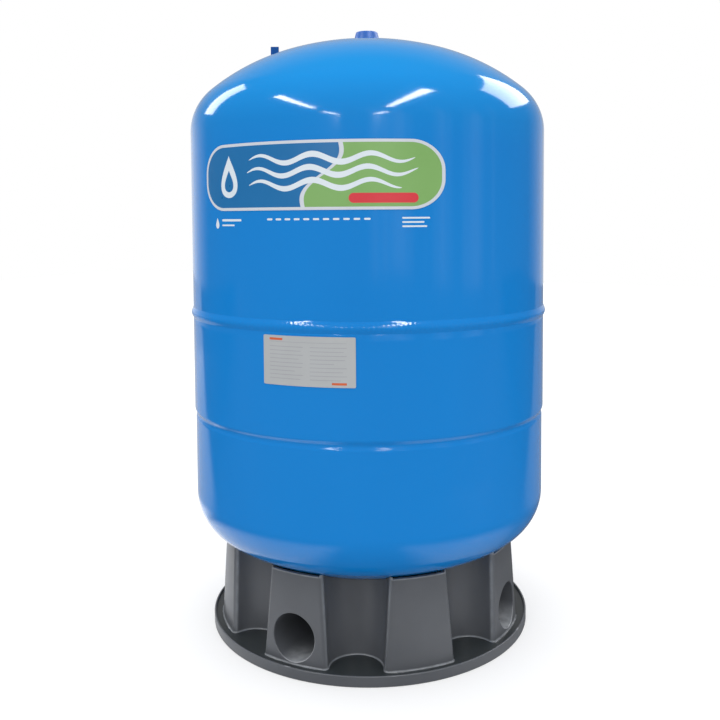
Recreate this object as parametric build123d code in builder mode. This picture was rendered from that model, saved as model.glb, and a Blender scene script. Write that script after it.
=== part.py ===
from build123d import *
import math
import os

# Well pressure tank on a moulded pedestal. Millimetres, +Z up.
# The origin is the middle of the pedestal's underside, on the floor.

# Steel shells
tank_radius = 279.4          # outside of the cylinder, 22 inches across
sheet = 2.0                  # steel wall
floor_gap = 84.9             # lowest point of the tank above the floor
lower_step = 1.7             # the lower dome is this much smaller in radius
lower_knuckle = 74.9
lower_crown = 474.1
groove_rise = 126.0          # from the lower dome's tangent line to the rolled groove
groove_height = 13.0
groove_depth = 3.0
seam_rise = 157.0            # from the groove to the upper shell's rim
upper_rise = 278.0           # from the upper shell's rim to its dome's tangent line
upper_knuckle = 82.1
upper_shoulder = 338.6
upper_crown = 451.8
upper_crown_angle = 17.5     # half angle of the crown arc, degrees

# Girth seam, a joggled lap with a raised weld
lap_clearance = 0.3
lap_height = 20.0
joggle_height = 7.0
joggle_drop = 1.0            # from the upper shell's rim down to the top of the joggle
weld_cover = 9.0             # how far the weld reaches up over the upper shell
weld_bulge = 3.0

# Water side, inside the lower shell
liner_wall = 1.2
liner_clearance = 0.2
diaphragm_wall = 2.6
diaphragm_knuckle = 95.0
diaphragm_crown = 600.0
diaphragm_rise = 40.0        # from the lower dome's tangent line to the diaphragm's
bead_height = 6.0
bead_rise = 9.0              # from the groove to the underside of the diaphragm's bead
ring_wall = 2.4
ring_height = 38.0
ring_lip = 5.0

# Water connection
neck_radius = 19.0
neck_wall = 2.5
bend_inner = 6.0             # inner radius of the elbow
socket_radius = 26.5
socket_length = 36.0
thread_radius = 19.25        # minor radius of a 1 1/4 inch female pipe thread
thread_depth = 26.0
mouth_reach = 132.0          # from the tank's axis to the threaded mouth
fit_gap = 0.3                # between parts that are pushed together
collar_radius = 42.0
collar_depth = 4.5           # below the lowest point of the dome
seal_radius = 34.0
seal_height = 3.0
nut_radius = 30.0
nut_height = 9.0
neck_spare = 3.0             # neck left above the nut
retainer_radius = 36.0
retainer_height = 3.0
retainer_groove = 0.8        # depth of its groove in the neck
elbow_drop = 3.6             # from the retainer to the top of the level pipe

# Pedestal
lobe_count = 8
lobe_radius = 240.0          # lobe faces at the foot
lobe_draft = 3.3             # degrees
flute_offset = 12.4          # flute axes lie this much inside the lobe faces
flute_radius = 39.3          # at the foot
flute_draft = 3.25           # degrees
base_wall = 5.0
base_wrap = 58.6             # the pedestal's posts stand this far above the dome's lowest point
rim_drop = 2.4               # lobe rims below the posts
seat_gap = 0.3
flange_ledge = 14.3
flange_height = 15.0         # top of the lip round the flange
lip_width = 3.0
lip_height = 3.0             # above the ledge inside it
flange_web = 4.5
corner_fillet = 6.0
foot_fillet = 2.4
flange_fillet = 1.2
foot_rib = 4.0
hub_hole = 29.0
hub_height = 5.0
tunnel_radius = 33.8
tunnel_wall = 4.0
tunnel_reach = 108.0         # from the tank's axis to the tunnels' inner ends
mouth_fillet = 1.2           # round the tunnels' outer ends
seat_rib = 5.0
seat_rib_depth = 22.0

# Air valve on the crown
boss_head_radius = 16.5
boss_head_height = 3.0
boss_radius = 12.0
boss_depth = 16.0            # below the top of the crown
stem_radius = 5.0
stem_depth = 9.0             # threaded length inside the boss
stem_hex = 14.0              # across flats
stem_hex_height = 2.5
stem_top_radius = 3.85
stem_top_height = 6.0
thread_gap = 0.1
core_radius = 2.4
core_length = 12.0
pin_radius = 0.8
pin_height = 0.8
passage_radius = 1.6
ring_section = 1.0
dust_cap_wall = 1.2
dust_cap_gap = 0.5           # above the stem
guard_base_radius = 21.3
guard_top_radius = 17.3
guard_wall = 2.6
guard_height = 17.0
guard_edge = 1.5

# Hanger lug on the dome's slope
lug_reach = 147.5            # from the tank's axis to the middle of the upright
lug_angle = -152.4           # plan angle, degrees
lug_width = 12.6
lug_height = 20.0
lug_thickness = 6.0
lug_foot = 22.0
lug_foot_height = 5.0
lug_sink = 3.0               # how far the outline runs under the skin before it is trimmed to it

# Labels, centred a little to one side of the front lobe
label_angle = -79.5          # plan angle, degrees
label_film = 0.3
label_glue = 0.3             # between the film and the paint
front_label_width = 349.0    # straight across, as its curve is seen from the front
front_label_height = 91.6
front_label_drop = 30.7      # from the upper dome's tangent line down to the label's edge
front_label_corner = 20.0
data_label_width = 131.0
data_label_height = 67.1
data_label_drop = 3.6        # from the weld down to the label's edge
data_label_corner = 2.0

# Places that follow from the sizes above
lower_radius = tank_radius - lower_step
lower_angle = math.asin((lower_radius - lower_knuckle) / (lower_crown - lower_knuckle))
lower_tangent = floor_gap + lower_crown - (lower_crown - lower_knuckle) * math.cos(lower_angle)
groove_level = lower_tangent + groove_rise
seam_level = groove_level + seam_rise
upper_tangent = seam_level + upper_rise

crown_half = math.radians(upper_crown_angle)
shoulder_offset = (upper_crown - upper_shoulder) * math.sin(crown_half)
shoulder_half = math.asin(
    (tank_radius - upper_knuckle - shoulder_offset) / (upper_shoulder - upper_knuckle)
)
shoulder_level = upper_tangent - (upper_shoulder - upper_knuckle) * math.cos(shoulder_half)
crown_level = shoulder_level - (upper_crown - upper_shoulder) * math.cos(crown_half)
crown_top = crown_level + upper_crown

upper_arcs = [
    (upper_knuckle, 90 - math.degrees(shoulder_half)),
    (upper_shoulder, math.degrees(shoulder_half - crown_half)),
    (upper_crown, upper_crown_angle),
]
lower_arcs = [
    (lower_knuckle, 90 - math.degrees(lower_angle)),
    (lower_crown, math.degrees(lower_angle)),
]

collar_bottom = floor_gap - collar_depth
hub_top = collar_bottom - fit_gap
hub_bottom = hub_top - hub_height
retainer_bottom = hub_bottom - retainer_height
pipe_level = retainer_bottom - elbow_drop - neck_radius
bend_radius = neck_radius + bend_inner
base_height = floor_gap + base_wrap
rim_height = base_height - rim_drop
flute_centre = lobe_radius - flute_offset
flange_radius = lobe_radius + flange_ledge
ledge_level = flange_height - lip_height

os.makedirs("parts", exist_ok=True)


def add_dome_skin(radius, tangent, arcs, inset, upward):
    """Arcs from the cylinder's edge to the axis, drawn in by inset from the outer skin."""
    point = (radius - inset, tangent)
    heading = (0, 1) if upward else (0, -1)
    turn = 1 if upward else -1
    for arc_radius, sweep in arcs:
        arc = JernArc(point, heading, arc_radius - inset, turn * sweep)
        point = arc @ 1
        heading = arc % 1
    return point


def lower_dome_block(inset):
    """Everything inside the lower dome's skin, drawn in by inset, up to the groove."""
    with BuildPart() as block:
        with BuildSketch(Plane.XZ):
            with BuildLine():
                end = add_dome_skin(lower_radius, lower_tangent, lower_arcs, inset, False)
                Polyline(end, (0, groove_level), (lower_radius - inset, groove_level),
                         (lower_radius - inset, lower_tangent))
            make_face()
        revolve(axis=Axis.Z)
    return block.part


def upper_dome_block():
    """Everything inside the upper dome's outer skin, from the seam up."""
    with BuildPart() as block:
        with BuildSketch(Plane.XZ):
            with BuildLine():
                end = add_dome_skin(tank_radius, upper_tangent, upper_arcs, 0, True)
                Polyline(end, (0, seam_level), (tank_radius, seam_level), (tank_radius, upper_tangent))
            make_face()
        revolve(axis=Axis.Z)
    return block.part


# Upper shell: a drawn cylinder and dome with a hole for the air valve
with BuildPart() as upper_shell:
    with BuildSketch(Plane.XZ):
        with BuildLine():
            outer_end = add_dome_skin(tank_radius, upper_tangent, upper_arcs, 0, True)
            inner_end = add_dome_skin(tank_radius, upper_tangent, upper_arcs, sheet, True)
            Line(outer_end, inner_end)
            Polyline((tank_radius, upper_tangent), (tank_radius, seam_level),
                     (tank_radius - sheet, seam_level), (tank_radius - sheet, upper_tangent))
        make_face()
    revolve(axis=Axis.Z)
    with BuildSketch(Plane.XY.offset(crown_top - boss_depth)):
        Circle(boss_radius)
    extrude(amount=boss_depth, mode=Mode.SUBTRACT)

upper_shell.part.label = "upper_shell"
export_step(upper_shell.part, "parts/upper_shell.step")


# Lower shell: its rim is drawn in to slip inside the upper shell, and a groove is rolled in
neck_in = sheet + lap_clearance
joggle_top = seam_level - joggle_drop
joggle_bottom = joggle_top - joggle_height
groove_top = groove_level + groove_height / 2
groove_bottom = groove_level - groove_height / 2


def add_lower_wall(inset):
    """The lower shell's side from its rim to the dome's tangent line."""
    Polyline((tank_radius - neck_in - inset, seam_level + lap_height),
             (tank_radius - neck_in - inset, joggle_top),
             (tank_radius - inset, joggle_bottom),
             (tank_radius - inset, groove_top))
    ThreePointArc((tank_radius - inset, groove_top),
                  (tank_radius - groove_depth - inset, groove_level),
                  (lower_radius - inset, groove_bottom))
    Line((lower_radius - inset, groove_bottom), (lower_radius - inset, lower_tangent))


with BuildPart() as lower_shell:
    with BuildSketch(Plane.XZ):
        with BuildLine():
            add_lower_wall(0)
            outer_end = add_dome_skin(lower_radius, lower_tangent, lower_arcs, 0, False)
            inner_end = add_dome_skin(lower_radius, lower_tangent, lower_arcs, sheet, False)
            Line(outer_end, inner_end)
            add_lower_wall(sheet)
            Line((tank_radius - neck_in - sheet, seam_level + lap_height),
                 (tank_radius - neck_in, seam_level + lap_height))
        make_face()
    revolve(axis=Axis.Z)
    with BuildSketch(Plane.XY.offset(floor_gap - collar_depth)):
        Circle(neck_radius + fit_gap)
    extrude(amount=collar_depth + groove_rise, mode=Mode.SUBTRACT)

lower_shell.part.label = "lower_shell"
export_step(lower_shell.part, "parts/lower_shell.step")


# Girth weld: fills the joggle under the upper shell's rim and stands proud of both shells
weld_root = joggle_bottom + joggle_height * sheet / neck_in

with BuildPart() as girth_weld:
    with BuildSketch(Plane.XZ):
        with BuildLine():
            weld_top = seam_level + weld_cover
            ThreePointArc((tank_radius, weld_top),
                          (tank_radius + weld_bulge, (weld_top + joggle_bottom) / 2),
                          (tank_radius, joggle_bottom))
            Polyline((tank_radius, joggle_bottom), (tank_radius - sheet, weld_root),
                     (tank_radius - sheet, seam_level), (tank_radius, seam_level),
                     (tank_radius, weld_top))
        make_face()
    revolve(axis=Axis.Z)

girth_weld.part.label = "girth_weld"
export_step(girth_weld.part, "parts/girth_weld.step")


# Water liner: a thin plastic skin inside the lower dome, up to the groove
liner_inset = sheet + liner_clearance
liner_inner = liner_inset + liner_wall

with BuildPart() as water_liner:
    with BuildSketch(Plane.XZ):
        with BuildLine():
            outer_end = add_dome_skin(lower_radius, lower_tangent, lower_arcs, liner_inset, False)
            inner_end = add_dome_skin(lower_radius, lower_tangent, lower_arcs, liner_inner, False)
            Line(outer_end, inner_end)
            Polyline((lower_radius - liner_inset, lower_tangent),
                     (lower_radius - liner_inset, groove_bottom),
                     (lower_radius - liner_inner, groove_bottom),
                     (lower_radius - liner_inner, lower_tangent))
        make_face()
    revolve(axis=Axis.Z)
    with BuildSketch(Plane.XY.offset(floor_gap)):
        Circle(neck_radius + fit_gap)
    extrude(amount=groove_rise, mode=Mode.SUBTRACT)

water_liner.part.label = "water_liner"
export_step(water_liner.part, "parts/water_liner.step")


# Diaphragm: a rubber bag whose beaded collar is gripped behind the groove
bag_radius = min(tank_radius - groove_depth - sheet, lower_radius - liner_inner) - liner_clearance
bag_tangent = lower_tangent + diaphragm_rise
bag_angle = math.asin((bag_radius - diaphragm_knuckle) / (diaphragm_crown - diaphragm_knuckle))
bag_arcs = [
    (diaphragm_knuckle, 90 - math.degrees(bag_angle)),
    (diaphragm_crown, math.degrees(bag_angle)),
]
bead_bottom = groove_level + bead_rise
bead_top = bead_bottom + bead_height
bead_radius = tank_radius - sheet - liner_clearance

with BuildPart() as diaphragm:
    with BuildSketch(Plane.XZ):
        with BuildLine():
            outer_end = add_dome_skin(bag_radius, bag_tangent, bag_arcs, 0, False)
            inner_end = add_dome_skin(bag_radius, bag_tangent, bag_arcs, diaphragm_wall, False)
            Line(outer_end, inner_end)
            Polyline((bag_radius, bag_tangent), (bag_radius, bead_bottom),
                     (bead_radius, bead_bottom), (bead_radius, bead_top),
                     (bag_radius - diaphragm_wall, bead_top), (bag_radius - diaphragm_wall, bag_tangent))
        make_face()
    revolve(axis=Axis.Z)

diaphragm.part.label = "diaphragm"
export_step(diaphragm.part, "parts/diaphragm.step")


# Clench ring: a steel hoop with both edges turned in, which presses the collar on the groove
ring_outer = bag_radius - diaphragm_wall - liner_clearance
ring_bottom = groove_level - ring_height / 2

with BuildPart() as clench_ring:
    with BuildSketch(Plane.XZ):
        with Locations((ring_outer - ring_wall / 2, groove_level)):
            Rectangle(ring_wall, ring_height)
        with Locations((ring_outer - ring_lip, ring_bottom),
                       (ring_outer - ring_lip, ring_bottom + ring_height - ring_wall)):
            Rectangle(ring_lip, ring_wall, align=(Align.MIN, Align.MIN))
    revolve(axis=Axis.Z)

clench_ring.part.label = "clench_ring"
export_step(clench_ring.part, "parts/clench_ring.step")


# Inlet elbow: a stainless neck that bends level and ends in a threaded socket
seal_top = floor_gap + liner_inner + seal_height
nut_top = seal_top + nut_height
neck_top = nut_top + neck_spare
bend_top = pipe_level + bend_radius
socket_start = mouth_reach - socket_length
toward_mouth = Plane(origin=(0, socket_start, pipe_level), x_dir=(1, 0, 0), z_dir=(0, 1, 0))


def elbow_bar(radius):
    """A round bar of one radius along the neck, the bend and the level pipe."""
    with BuildPart() as bar:
        with BuildLine(Plane.YZ):
            neck = Line((0, neck_top), (0, bend_top))
            bend = JernArc(neck @ 1, (0, -1), bend_radius, 90)
            Line(bend @ 1, (socket_start, pipe_level))
        with BuildSketch(Plane.XY.offset(neck_top)):
            Circle(radius)
        sweep()
    return bar.part


with BuildPart() as inlet_elbow:
    add(elbow_bar(neck_radius))
    with BuildSketch(toward_mouth):
        Circle(socket_radius)
    extrude(amount=socket_length)
    add(elbow_bar(neck_radius - neck_wall), mode=Mode.SUBTRACT)
    with BuildSketch(toward_mouth):
        Circle(neck_radius - neck_wall)
    extrude(amount=socket_length, mode=Mode.SUBTRACT)
    with BuildSketch(toward_mouth.offset(socket_length - thread_depth)):
        Circle(thread_radius)
    extrude(amount=thread_depth, mode=Mode.SUBTRACT)
    with BuildSketch(Plane.XY.offset(retainer_bottom)):
        Circle(retainer_radius)
        Circle(neck_radius - retainer_groove, mode=Mode.SUBTRACT)
    extrude(amount=retainer_height, mode=Mode.SUBTRACT)

inlet_elbow.part.label = "inlet_elbow"
export_step(inlet_elbow.part, "parts/inlet_elbow.step")


# Inlet collar: a weld flange cupped to the underside of the dome
with BuildPart() as inlet_collar:
    with BuildSketch(Plane.XY.offset(collar_bottom)):
        Circle(collar_radius)
        Circle(neck_radius + fit_gap, mode=Mode.SUBTRACT)
    extrude(amount=lower_tangent - collar_bottom)
    add(lower_dome_block(0), mode=Mode.SUBTRACT)

inlet_collar.part.label = "inlet_collar"
export_step(inlet_collar.part, "parts/inlet_collar.step")


# Inlet seal: a gasket bedded on the liner, flat on top for the nut
with BuildPart() as inlet_seal:
    with BuildSketch(Plane.XY.offset(floor_gap)):
        Circle(seal_radius)
        Circle(neck_radius + fit_gap, mode=Mode.SUBTRACT)
    extrude(amount=seal_top - floor_gap)
    add(lower_dome_block(liner_inner), mode=Mode.INTERSECT)

inlet_seal.part.label = "inlet_seal"
export_step(inlet_seal.part, "parts/inlet_seal.step")


# Liner nut: clamps the seal and the liner to the dome
with BuildPart() as liner_nut:
    with BuildSketch(Plane.XY.offset(seal_top)):
        RegularPolygon(nut_radius, 6, major_radius=False)
        Circle(neck_radius + fit_gap, mode=Mode.SUBTRACT)
    extrude(amount=nut_height)

liner_nut.part.label = "liner_nut"
export_step(liner_nut.part, "parts/liner_nut.step")


# Base retainer: an open spring ring in the neck's groove, under the pedestal's hub
retainer_bore = neck_radius - retainer_groove + fit_gap

with BuildPart() as base_retainer:
    with BuildSketch(Plane.XY.offset(retainer_bottom)):
        Circle(retainer_radius)
        Circle(retainer_bore, mode=Mode.SUBTRACT)
        Rectangle(2 * retainer_radius, 2 * retainer_bore * math.sin(math.radians(60)),
                  align=(Align.MIN, Align.CENTER), mode=Mode.SUBTRACT)
    extrude(amount=retainer_height)

base_retainer.part.label = "base_retainer"
export_step(base_retainer.part, "parts/base_retainer.step")


# Pedestal base: lobes and flutes round a hollow ring, with a cupped seat and four pipe tunnels
def lobe_radius_at(height):
    return lobe_radius - (height - ledge_level) * math.tan(math.radians(lobe_draft))


def flute_radius_at(height):
    return flute_radius + (height - ledge_level) * math.tan(math.radians(flute_draft))


def ring_radius_at(height):
    return flute_centre - flute_radius_at(height)


def lobe_width_at(height):
    """The straight width of a lobe's face, from the crossing of the lobe and flute circles."""
    lobe = lobe_radius_at(height)
    flute = flute_radius_at(height)
    flute_half = math.acos((lobe ** 2 + flute_centre ** 2 - flute ** 2) / (2 * lobe * flute_centre))
    return 2 * lobe * math.sin(math.pi / lobe_count - flute_half)


def fluted_plug(inset, bottom):
    """The tapered form of the lobes and flutes, its walls drawn in by inset, open to the top."""
    height = base_height - bottom
    with BuildPart() as plug:
        with Locations((0, 0, bottom)):
            Cone(lobe_radius_at(bottom) - inset, lobe_radius_at(base_height) - inset, height,
                 align=(Align.CENTER, Align.CENTER, Align.MIN))
        with Locations(Plane.XY.offset(bottom)):
            with PolarLocations(flute_centre, lobe_count, start_angle=180 / lobe_count):
                Cone(flute_radius_at(bottom) + inset, flute_radius_at(base_height) + inset, height,
                     align=(Align.CENTER, Align.CENTER, Align.MIN), mode=Mode.SUBTRACT)
    return plug.part


def ring_core(inset):
    """The tapered round core inside the ring wall."""
    with BuildPart() as core:
        Cone(ring_radius_at(0) - inset, ring_radius_at(base_height) - inset, base_height,
             align=(Align.CENTER, Align.CENTER, Align.MIN))
    return core.part


rib_angles = [45, 135, 225, 315]
mouth_inner = lobe_radius_at(pipe_level + tunnel_radius) - base_wall / 2
tunnel_starts = []
for angle in (0, 90, 180, 270):
    way_out = Vector(1, 0, 0).rotate(Axis.Z, angle)
    outward = Plane(origin=(0, 0, pipe_level), x_dir=(0, 0, 1), z_dir=way_out)
    tunnel_starts.append(outward.offset(tunnel_reach))

with BuildPart() as lobe_wells:
    add(fluted_plug(base_wall, 0))
    add(ring_core(0), mode=Mode.SUBTRACT)

with BuildPart() as seat_bowl:
    add(lower_dome_block(-seat_gap - base_wall))
    with BuildSketch(Plane.XY.offset(hub_bottom)):
        Circle(collar_radius + base_wall)
    extrude(amount=floor_gap - hub_bottom)
    with BuildSketch(Plane.XY.offset(hub_bottom - seat_rib_depth)):
        for angle in rib_angles:
            with Locations(Location((0, 0), angle)):
                Rectangle(ring_radius_at(0), seat_rib, align=(Align.MIN, Align.CENTER))
        Circle(collar_radius + base_wall, mode=Mode.SUBTRACT)
    extrude(amount=base_height - hub_bottom + seat_rib_depth)
    add(ring_core(base_wall / 2), mode=Mode.INTERSECT)

with BuildPart() as tunnel_bores:
    with BuildSketch(*tunnel_starts):
        Circle(tunnel_radius)
    extrude(amount=flange_radius)

with BuildPart() as tunnel_tubes:
    with BuildSketch(*tunnel_starts):
        Circle(tunnel_radius + tunnel_wall)
    extrude(amount=lobe_radius - tunnel_reach)
    add(fluted_plug(base_wall / 2, 0), mode=Mode.INTERSECT)

with BuildPart() as pedestal_base:
    add(fluted_plug(0, ledge_level))
    walls = pedestal_base.edges().filter_by(
        lambda edge: edge.bounding_box().size.Z > flange_height
        and math.hypot(edge.center().X, edge.center().Y) > ring_radius_at(0)
    )
    fillet(walls, corner_fillet)
    add(tunnel_bores.part, mode=Mode.SUBTRACT)
    mouths = pedestal_base.edges(Select.LAST).filter_by(
        lambda edge: math.hypot(edge.center().X, edge.center().Y) > mouth_inner
    )
    fillet(mouths, mouth_fillet)
    with BuildSketch():
        Circle(flange_radius)
    extrude(amount=ledge_level)
    foot = pedestal_base.edges().filter_by_position(Axis.Z, ledge_level, ledge_level).filter_by(
        lambda edge: math.hypot(edge.center().X, edge.center().Y) < lobe_radius + foot_fillet
    )
    fillet(foot, foot_fillet)
    with BuildSketch(Plane.XY.offset(ledge_level)):
        Circle(flange_radius)
        Circle(flange_radius - lip_width, mode=Mode.SUBTRACT)
    extrude(amount=lip_height)
    lip = pedestal_base.edges().filter_by_position(Axis.Z, flange_height, flange_height).filter_by(
        lambda edge: edge.length > 2 * math.pi * lobe_radius
    )
    fillet(lip, flange_fillet)
    add(lobe_wells.part, mode=Mode.SUBTRACT)
    add(ring_core(base_wall), mode=Mode.SUBTRACT)
    with BuildSketch():
        Circle(flange_radius - base_wall)
        Circle(ring_radius_at(0), mode=Mode.SUBTRACT)
        with PolarLocations(0, 2 * lobe_count, start_angle=90 / lobe_count):
            Rectangle(flange_radius - base_wall, foot_rib, align=(Align.MIN, Align.CENTER),
                      mode=Mode.SUBTRACT)
    extrude(amount=ledge_level - flange_web, mode=Mode.SUBTRACT)
    with BuildSketch(Plane.XY.offset(rim_height)):
        with PolarLocations(ring_radius_at(rim_height), lobe_count):
            Rectangle(lobe_radius - ring_radius_at(rim_height), lobe_width_at(base_height) - 2 * base_wall,
                      align=(Align.MIN, Align.CENTER))
    extrude(amount=rim_drop, mode=Mode.SUBTRACT)
    add(seat_bowl.part)
    add(tunnel_tubes.part)
    add(tunnel_bores.part, mode=Mode.SUBTRACT)
    with BuildSketch(Plane.XY.offset(hub_top)):
        Circle(collar_radius + fit_gap)
    extrude(amount=floor_gap, mode=Mode.SUBTRACT)
    with BuildSketch(Plane.XY.offset(hub_bottom)):
        Circle(hub_hole)
    extrude(amount=hub_height, mode=Mode.SUBTRACT)
    add(lower_dome_block(-seat_gap), mode=Mode.SUBTRACT)

pedestal_base.part.label = "pedestal_base"
export_step(pedestal_base.part, "parts/pedestal_base.step")


# Valve boss: a turned steel boss through the crown, with a seat for the stem and its ring
boss_top = crown_top + boss_head_height
stem_bottom = boss_top - stem_depth

with BuildPart() as valve_boss:
    with BuildSketch(Plane.XY.offset(crown_top - sheet)):
        Circle(boss_head_radius)
    extrude(amount=sheet + boss_head_height)
    add(upper_dome_block(), mode=Mode.SUBTRACT)
    with BuildSketch(Plane.XY.offset(crown_top - boss_depth)):
        Circle(boss_radius)
    extrude(amount=boss_depth)
    with BuildSketch(Plane.XY.offset(boss_top)):
        Circle(stem_radius + 2 * ring_section)
    extrude(amount=-2 * ring_section, mode=Mode.SUBTRACT)
    with BuildSketch(Plane.XY.offset(boss_top)):
        Circle(stem_radius + thread_gap)
    extrude(amount=-boss_depth - boss_head_height, mode=Mode.SUBTRACT)

valve_boss.part.label = "valve_boss"
export_step(valve_boss.part, "parts/valve_boss.step")


# Valve seal: an O-ring in the boss's seat, under the stem's hexagon
with BuildPart() as valve_seal:
    with Locations((0, 0, boss_top - ring_section)):
        Torus(stem_radius + ring_section, ring_section)

valve_seal.part.label = "valve_seal"
export_step(valve_seal.part, "parts/valve_seal.step")


# Valve stem: a brass body with a hexagon, bored for the core
stem_top = boss_top + stem_hex_height + stem_top_height
core_bottom = stem_top - pin_height - core_length

with BuildPart() as valve_stem:
    with BuildSketch(Plane.XY.offset(stem_bottom)):
        Circle(stem_radius)
    extrude(amount=stem_depth)
    with BuildSketch(Plane.XY.offset(boss_top)):
        RegularPolygon(stem_hex / 2, 6, major_radius=False)
    extrude(amount=stem_hex_height)
    with BuildSketch(Plane.XY.offset(boss_top + stem_hex_height)):
        Circle(stem_top_radius)
    extrude(amount=stem_top_height)
    with BuildSketch(Plane.XY.offset(core_bottom)):
        Circle(core_radius + thread_gap)
    extrude(amount=stem_top - core_bottom, mode=Mode.SUBTRACT)
    with BuildSketch(Plane.XY.offset(stem_bottom)):
        Circle(passage_radius)
    extrude(amount=core_bottom - stem_bottom, mode=Mode.SUBTRACT)

valve_stem.part.label = "valve_stem"
export_step(valve_stem.part, "parts/valve_stem.step")


# Valve core: the closed core with its pin, which ends level with the stem
with BuildPart() as valve_core:
    with BuildSketch(Plane.XY.offset(core_bottom)):
        Circle(core_radius)
    extrude(amount=core_length)
    with BuildSketch(Plane.XY.offset(core_bottom + core_length)):
        Circle(pin_radius)
    extrude(amount=pin_height)

valve_core.part.label = "valve_core"
export_step(valve_core.part, "parts/valve_core.step")


# Valve dust cap: screwed over the stem, down on its hexagon
dust_bore = stem_top_radius + thread_gap
dust_height = stem_top_height + dust_cap_gap + dust_cap_wall

with BuildPart() as valve_dust_cap:
    with BuildSketch(Plane.XY.offset(boss_top + stem_hex_height)):
        Circle(dust_bore + dust_cap_wall)
    extrude(amount=dust_height)
    fillet(valve_dust_cap.edges().group_by(Axis.Z)[-1], dust_cap_wall / 2)
    with BuildSketch(Plane.XY.offset(boss_top + stem_hex_height)):
        Circle(dust_bore)
    extrude(amount=stem_top_height + dust_cap_gap, mode=Mode.SUBTRACT)

valve_dust_cap.part.label = "valve_dust_cap"
export_step(valve_dust_cap.part, "parts/valve_dust_cap.step")


# Valve guard cap: a tapered cover pushed over the boss's head, down on the dome
guard_bore = boss_head_radius + fit_gap
guard_top = crown_top + guard_height

with BuildPart() as valve_guard_cap:
    with BuildSketch(Plane.XZ):
        with BuildLine():
            Polyline((0, crown_top - sheet), (guard_base_radius, crown_top - sheet),
                     (guard_base_radius, crown_top), (guard_top_radius, guard_top),
                     (0, guard_top), close=True)
        make_face()
    revolve(axis=Axis.Z)
    fillet(valve_guard_cap.edges().group_by(Axis.Z)[-1], guard_edge)
    with BuildSketch(Plane.XZ):
        with BuildLine():
            Polyline((0, crown_top - sheet), (guard_bore, crown_top - sheet), (guard_bore, boss_top),
                     (guard_top_radius - guard_wall, guard_top - guard_wall),
                     (0, guard_top - guard_wall), close=True)
        make_face()
    revolve(axis=Axis.Z, mode=Mode.SUBTRACT)
    add(upper_dome_block(), mode=Mode.SUBTRACT)

valve_guard_cap.part.label = "valve_guard_cap"
export_step(valve_guard_cap.part, "parts/valve_guard_cap.step")


# Hanger lug: a flat plate on edge, with an upright and a foot that tapers down the slope
def upper_skin_at(reach):
    """Height of the upper dome's skin at a distance from the axis, inside its knuckle."""
    if reach < upper_crown * math.sin(crown_half):
        return crown_level + math.sqrt(upper_crown ** 2 - reach ** 2)
    return shoulder_level + math.sqrt(upper_shoulder ** 2 - (reach - shoulder_offset) ** 2)


lug_inner = lug_reach - lug_width / 2
lug_outer = lug_reach + lug_width / 2
lug_end = lug_outer + lug_foot
lug_top = upper_skin_at(lug_reach) + lug_height
lug_edge = Vector(1, 0, 0).rotate(Axis.Z, lug_angle)
lug_plane = Plane(origin=(0, 0, 0), x_dir=lug_edge, z_dir=lug_edge.rotate(Axis.Z, -90))

with BuildPart() as hanger_lug:
    with BuildSketch(lug_plane):
        with BuildLine():
            Polyline((lug_inner, upper_skin_at(lug_outer) - lug_sink), (lug_inner, lug_top),
                     (lug_outer, lug_top), (lug_outer, upper_skin_at(lug_outer) + lug_foot_height),
                     (lug_end, upper_skin_at(lug_end)), (lug_end, upper_skin_at(lug_end) - lug_sink),
                     close=True)
        make_face()
    extrude(amount=lug_thickness / 2, both=True)
    add(upper_dome_block(), mode=Mode.SUBTRACT)

hanger_lug.part.label = "hanger_lug"
export_step(hanger_lug.part, "parts/hanger_lug.step")


# Labels: thin films that follow the cylinder
def label_film_on(width, height, level, corner):
    """A film with rounded corners, pressed on the cylinder at one level."""
    outward = Vector(1, 0, 0).rotate(Axis.Z, label_angle)
    face = Plane(origin=(0, 0, level), x_dir=outward.rotate(Axis.Z, 90), z_dir=outward)
    with BuildPart() as film:
        with BuildSketch(face):
            RectangleRounded(width, height, corner)
        extrude(amount=tank_radius + label_glue + label_film)
        with BuildSketch(Plane.XY.offset(level - height / 2)):
            Circle(tank_radius + label_glue + label_film)
            Circle(tank_radius + label_glue, mode=Mode.SUBTRACT)
        extrude(amount=height, mode=Mode.INTERSECT)
    return film.part


front_label_level = upper_tangent - front_label_drop - front_label_height / 2
front_label = label_film_on(front_label_width, front_label_height, front_label_level,
                            front_label_corner)
front_label.label = "front_label"
export_step(front_label, "parts/front_label.step")

data_label_level = joggle_bottom - data_label_drop - data_label_height / 2
data_label = label_film_on(data_label_width, data_label_height, data_label_level, data_label_corner)
data_label.label = "data_label"
export_step(data_label, "parts/data_label.step")
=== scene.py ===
import math

import bmesh
import bpy
import numpy as np
from mathutils import Matrix, Vector


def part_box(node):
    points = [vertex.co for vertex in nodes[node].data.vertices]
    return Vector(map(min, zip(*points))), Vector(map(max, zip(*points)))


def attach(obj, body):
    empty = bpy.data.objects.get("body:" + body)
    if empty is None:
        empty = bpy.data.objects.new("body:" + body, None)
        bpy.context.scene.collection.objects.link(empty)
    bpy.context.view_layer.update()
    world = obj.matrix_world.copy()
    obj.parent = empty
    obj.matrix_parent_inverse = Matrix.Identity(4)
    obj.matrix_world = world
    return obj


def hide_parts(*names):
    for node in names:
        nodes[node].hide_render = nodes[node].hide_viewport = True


# A well pressure tank: an enamelled steel vessel on a moulded pedestal.
# Lengths in this script are millimetres until a mesh is made, apart from the studio's, which are metres.
# Angles are degrees.

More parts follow.
